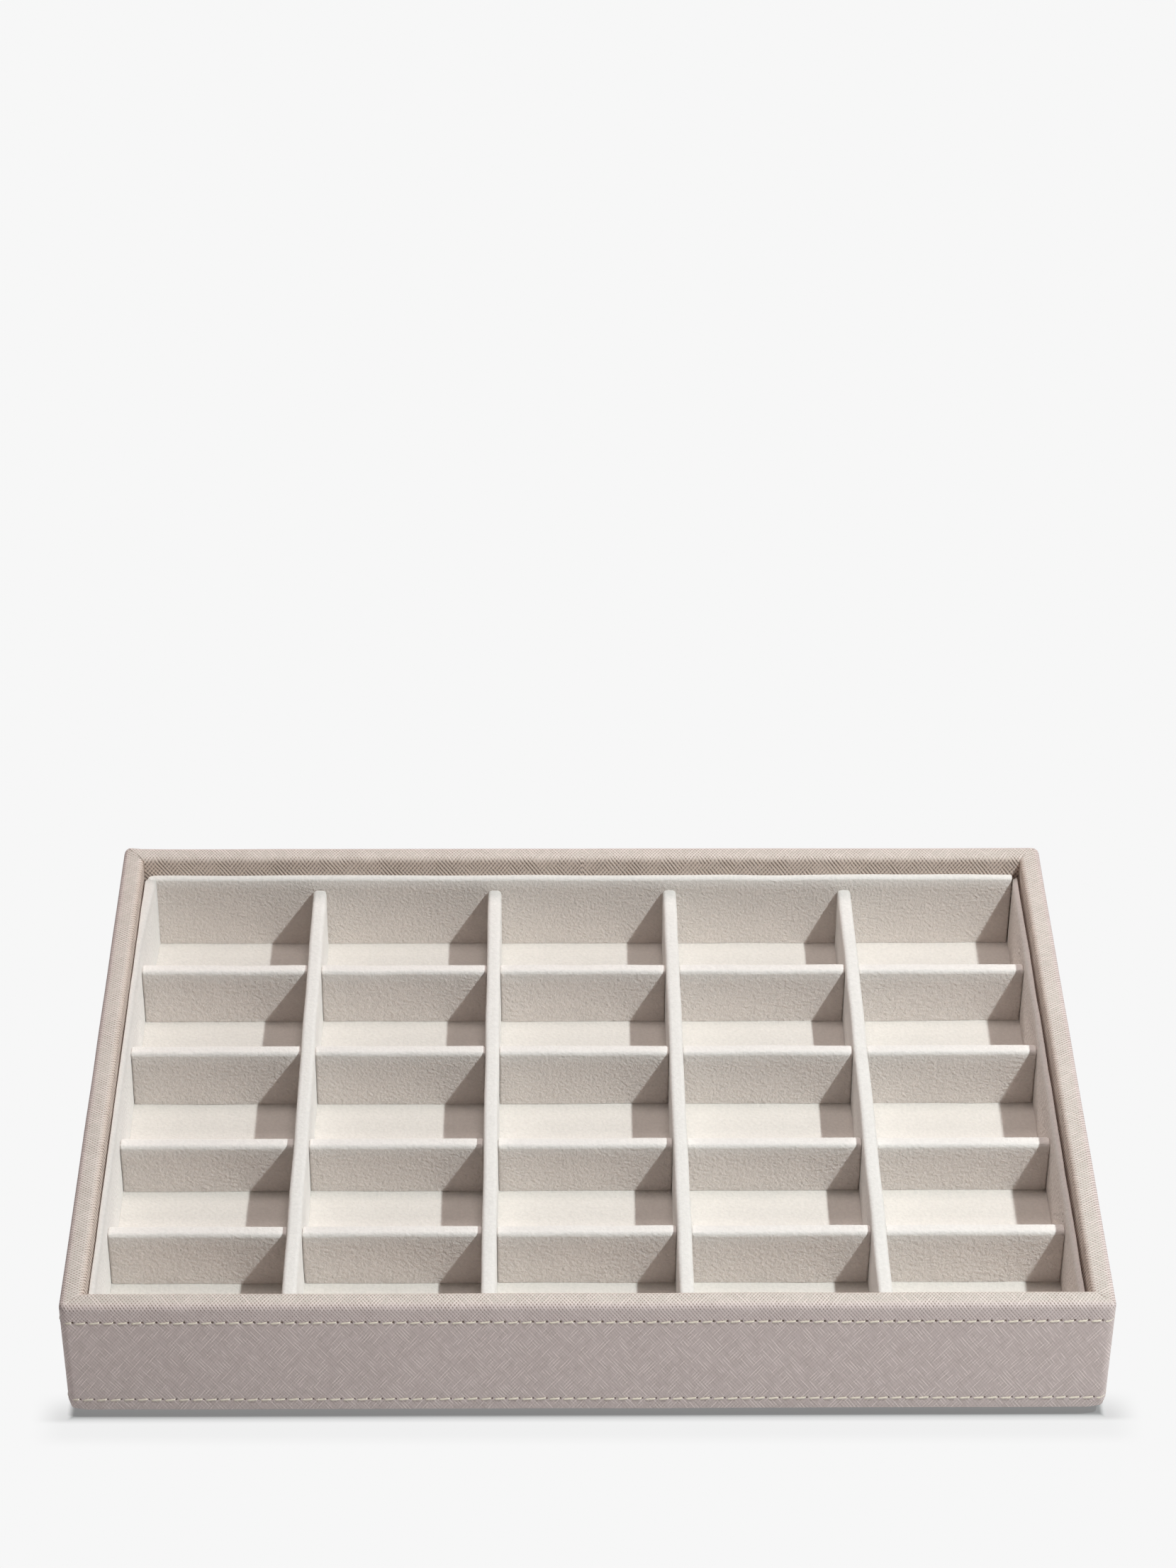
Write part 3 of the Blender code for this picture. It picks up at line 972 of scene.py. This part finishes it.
def velvet_strip(node, material, rounds, grown, settled=0.0, shoulder=0.0, bulge=0.0):
    """A card strip in velvet, rounded over the top and softly at its ends.

    The rounds are those of the long top edges at its low and high side, and of its ends. Grown is how
    far the pile stands out at the low and high side and at the low and high end. A shoulder rounds the
    lining's corner at the back left, and a bulge thickens the strip towards its high end.
    """
    low_round, high_round, end_round = rounds
    low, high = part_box(node)
    run = 0 if high.x - low.x > high.y - low.y else 1
    side = 1 - run
    low_side, high_side, low_end, high_end = grown
    low[side] -= low_side
    high[side] += high_side
    low[run] -= low_end
    high[run] += high_end
    low.z -= FOOT_PILE
    high.z -= settled
    bm = block(low, high)
    reach = (high - low)[run] / 2

    def long_top_edge(at_high_side):
        level = high[side] if at_high_side else low[side]
        for edge in bm.edges:
            start, end = (vert.co for vert in edge.verts)
            on_top = min(start.z, end.z) > high.z - MERGE
            if on_top and abs(start[run] - end[run]) > reach and abs(start[side] - level) < MERGE:
                return edge

    round_off(bm, [long_top_edge(False)], low_round, ROUND_STEPS)
    round_off(bm, [long_top_edge(True)], high_round, ROUND_STEPS)
    bm.normal_update()
    end_edges = [
        edge
        for edge in bm.edges
        if any(abs(face.normal[run]) > END_FACING for face in edge.link_faces)
        and max(vert.co.z for vert in edge.verts) > low.z + MERGE
    ]
    round_off(bm, end_edges, end_round, END_STEPS)
    slice_along(bm, run, low, high)
    slice_along(bm, 2, low, high)
    # A map of how far each point lies in the crest along the top, where the velvet's colour is painted
    # lighter or darker.
    pile = bm.loops.layers.uv.new("pile")
    for face in bm.faces:
        for loop in face.loops:
            loop[pile].uv = (smooth_step(loop.vert.co.z, high.z - PAINTED_CREST_DEPTH, high.z - PAINTED_CREST_FULL), 0)
    if shoulder:
        wall_corner = Vector((wall - half_length, half_depth - wall, 0))
        inwards = Vector((1, -1, 0))
        for number in range(1, SHOULDER_CUTS + 1):
            spot = wall_corner + inwards * shoulder * number / SHOULDER_CUTS
            for axis in (0, 1):
                cut_across(bm, spot, axis)
        round_in_plan(bm, wall_corner, inwards, shoulder)
    bmesh.ops.dissolve_degenerate(bm, dist=SLIVER, edges=bm.edges[:])
    for vert in bm.verts:
        face_share = smooth_step(vert.co[side], low[side], high[side])
        end_share = smooth_step(vert.co[run], high[run] - BULGE_REACH, high[run])
        vert.co[side] += bulge * face_share * end_share
    ripple(bm)
    add_piece(f"velvet_{node}", bm, material, [node])


def velvet_floor(material):
    low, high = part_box("floor_pad")
    bm = block(low, high)
    round_off(bm, bm.edges[:], FLOOR_ROUND, FLOOR_STEPS)
    slice_along(bm, 0, low, high)
    slice_along(bm, 1, low, high)
    ripple(bm)
    add_piece("velvet_floor", bm, material, ["floor_pad"])


def velvet_plinth(material):
    """The cover of the plinth is folded up round its board and open above."""
    low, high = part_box("plinth_cover")
    bm = block(low, high)
    bm.faces.ensure_lookup_table()
    lid = max(bm.faces, key=lambda face: face.calc_center_median().z)
    bmesh.ops.delete(bm, geom=[lid], context="FACES_ONLY")
    round_off(bm, [edge for edge in bm.edges if not edge.is_boundary], COVER_FOLD, EDGE_STEPS)
    bmesh.ops.recalc_face_normals(bm, faces=bm.faces)
    cover = add_piece("velvet_plinth_cover", bm, material, ["plinth_cover"])
    cloth = cover.modifiers.new("cloth_thickness", "SOLIDIFY")
    cloth.thickness = COVER_THICKNESS
    cloth.offset = -1.0
    cloth.use_even_offset = True


# The tray

leatherette = leatherette_finish()
thread = thread_finish()
velvets = {name: velvet_finish(f"{name}_velvet", *look) for name, look in VELVETS.items()}
fibreboard = board_finish("raw_fibreboard", FIBREBOARD_LIGHT, FIBREBOARD_DARK, FIBREBOARD_FIBRE)
card = board_finish("raw_card", CARD_LIGHT, CARD_DARK, CARD_FIBRE)

leatherette_wrap(leatherette)
for name, seam, half_width, half_height in (
    ("top", top_seam, TOP_HOLE_HALF_WIDTH, TOP_HOLE_HALF_HEIGHT),
    ("bottom", bottom_seam, BOTTOM_HOLE_HALF_WIDTH, BOTTOM_HOLE_HALF_HEIGHT),
):
    seam_strip(f"{name}_seam_strip", seam, half_width, half_height, leatherette)
    stitches(f"{name}_stitches", seam, half_width, f"{name}_stitching", thread)

# The rows take the darker row velvet and the columns the lighter column velvet: painted shade and light.
row_rounds = (ROW_ROUND, ROW_ROUND, ROW_END_ROUND)
column_rounds = (COLUMN_ROUND, COLUMN_ROUND, COLUMN_END_ROUND)
divider_pile = (0, 0, END_PILE, END_PILE)
for node in sorted(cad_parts):
    if node.startswith("row_divider"):
        settled = ROWS_SETTLED[int(node.split("_")[2]) - 1]
        velvet_strip(node, velvets["row"], row_rounds, divider_pile, settled)
    elif node.startswith("column_divider"):
        velvet_strip(node, velvets["column"], column_rounds, divider_pile)
    elif node.endswith("_board"):
        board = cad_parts[node].data
        board.materials.clear()
        board.materials.append(card if node == "plinth_board" else fibreboard)

# The liners. The back one reaches the left wall, and the left one stops at its face.
back_low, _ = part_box("back_liner")
left_low, left_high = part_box("left_liner")
front_pile = (BACK_PILE, 0, BACK_PILE, BACK_PILE)
back_pile = (0, BACK_PILE, back_low.x - left_low.x, BACK_PILE)
left_pile = (0, 0, 0, back_low.y - left_high.y)
right_pile = (0, -RIGHT_GAP, 0, -REAR_GAP)
front_rounds = (LINER_BACK_ROUND, LINER_ROUND, LINER_END_ROUND)
back_rounds = (LINER_ROUND, LINER_BACK_ROUND, LINER_END_ROUND)
left_rounds = (LINER_BACK_ROUND, LINER_ROUND, TIGHT_ROUND)
right_rounds = (LINER_ROUND, RIGHT_BACK_ROUND, LINER_END_ROUND)
# The right liner, in shade, takes the darker row velvet, and the left liner, facing the key lamp, its own
# lighter one: painted shade and light.
velvet_strip("front_liner", velvets["row"], front_rounds, front_pile)
velvet_strip("back_liner", velvets["back"], back_rounds, back_pile, shoulder=BACK_SHOULDER)
velvet_strip(
    "left_liner", velvets["left"], left_rounds, left_pile, shoulder=BACK_SHOULDER, bulge=REAR_BULGE
)
velvet_strip("right_liner", velvets["row"], right_rounds, right_pile)
velvet_floor(velvets["floor"])
velvet_plinth(velvets["plinth"])


# The studio


def camera():
    data = bpy.data.cameras.new("camera")
    data.sensor_width = CAMERA_SENSOR
    data.lens = CAMERA_LENS
    data.clip_start = CAMERA_NEAR
    data.clip_end = CAMERA_FAR
    level_ahead = Vector((sin(CAMERA_YAW), cos(CAMERA_YAW), 0))
    ahead = level_ahead * cos(CAMERA_PITCH) - Vector((0, 0, sin(CAMERA_PITCH)))
    level = Vector((cos(CAMERA_YAW), -sin(CAMERA_YAW), 0))
    upright = level.cross(ahead)
    right = level * cos(CAMERA_ROLL) + upright * sin(CAMERA_ROLL)
    up = upright * cos(CAMERA_ROLL) - level * sin(CAMERA_ROLL)
    turn = Matrix((right, up, -ahead)).transposed().to_4x4()
    eye = bpy.data.objects.new("camera", data)
    eye.matrix_world = Matrix.Translation(CAMERA_PLACE) @ turn
    bpy.context.scene.collection.objects.link(eye)
    bpy.context.scene.camera = eye


def lamp(name, kind, place, power, colour):
    data = bpy.data.lights.new(name, kind)
    data.energy = power
    data.color = colour
    light = bpy.data.objects.new(name, data)
    light.location = place
    bpy.context.scene.collection.objects.link(light)
    return light


def lamps():
    key = lamp("key_light", "POINT", KEY_PLACE, KEY_POWER, KEY_COLOUR)
    key.data.shadow_soft_size = KEY_RADIUS
    for name, (place, power) in SOFT_BOXES.items():
        box = lamp(name, "AREA", place, power, FILL_COLOUR)
        box.data.shape = "DISK"
        box.data.size = SOFT_BOX_WIDTH
        aim = Vector(SOFT_BOX_AIM) - Vector(place)
        box.rotation_euler = aim.to_track_quat("-Z", "Y").to_euler()


def seen_directly(finish):
    """1 where the background itself shows, in the picture or in a gloss, and 0 where it only lights."""
    rays = ("Is Camera Ray", "Is Glossy Ray", "Is Transmission Ray")
    camera_ray, gloss_ray, clear_ray = (finish.add("ShaderNodeLightPath", {}, {}, ray) for ray in rays)
    return (camera_ray + gloss_ray + clear_ray).maths("MINIMUM", 1.0)


def world_light():
    """A faint even fill. Seen directly, the surroundings are as white as the ground."""
    world = bpy.data.worlds.new("studio")
    world.use_nodes = True
    bpy.context.scene.world = world
    finish = Finish(world.node_tree)
    surround = world.node_tree.nodes["Background"]
    seen = seen_directly(finish)
    finish.feed(surround.inputs["Color"], finish.mix((*FILL_COLOUR, 1.0), GROUND_WHITE, seen))
    finish.feed(surround.inputs["Strength"], FILL_AROUND + seen * (1.0 - FILL_AROUND))


def ground_glow(finish, past_side, ahead):
    """How bright the ground shows: a painted shadow dims it close in front of the walls, between the
    tray's sides.
    """
    painted_shadow = 0.0
    for (near, dark), (far, bright) in zip(GROUND_GLOWS, GROUND_GLOWS[1:]):
        painted_shadow = painted_shadow + finish.rise(ahead, near, far, bright - dark, 0.0)
    reach = GROUND_GLOWS[-1][0]
    between = finish.rise(past_side, 0.0, reach, 1.0, 0.0)
    in_front = finish.rise(ahead, -reach, 0.0)
    return 1.0 - painted_shadow * between * in_front


def ground_finish():
    """White, with a faint painted shadow round the tray and a full one under its walls, real and painted
    dark.
    """
    material = bpy.data.materials.new("ground")
    material.use_nodes = True
    tree = material.node_tree
    tree.nodes.remove(tree.nodes["Principled BSDF"])
    finish = Finish(tree)
    place = finish.place()
    past_side = finish.part(place, "X").maths("ABSOLUTE") - half_length
    past_end = finish.part(place, "Y").maths("ABSOLUTE") - half_depth
    ahead = finish.part(place, "Y") * -1.0 - half_depth
    outside = finish.rise(past_side.maths("MAXIMUM", past_end), GROUND_SHADE_START, GROUND_SHADE_END)
    colour = finish.mix(GROUND_PAINTED_SHADE_UNDER, GROUND_WHITE, outside)
    glow = ground_glow(finish, past_side, ahead)
    lit = finish.add("ShaderNodeBsdfDiffuse", {}, {"Color": colour})
    white = finish.add("ShaderNodeEmission", {}, {"Color": GROUND_WHITE, "Strength": glow})
    share = seen_directly(finish) * (outside * (1.0 - GROUND_SHADE_LIFT) + GROUND_SHADE_LIFT)
    mixed = finish.add("ShaderNodeMixShader", {}, {0: share, 1: lit, 2: white})
    finish.feed(tree.nodes["Material Output"].inputs["Surface"], mixed)
    return material


def ground():
    bm = bmesh.new()
    bmesh.ops.create_grid(bm, x_segments=1, y_segments=1, size=GROUND_SIZE / 2)
    mesh = bpy.data.meshes.new("ground")
    bm.to_mesh(mesh)
    bm.free()
    mesh.materials.append(ground_finish())
    floor = bpy.data.objects.new("ground", mesh)
    bpy.context.scene.collection.objects.link(floor)


camera()
lamps()
world_light()
ground()
bpy.context.scene.view_settings.view_transform = "Standard"
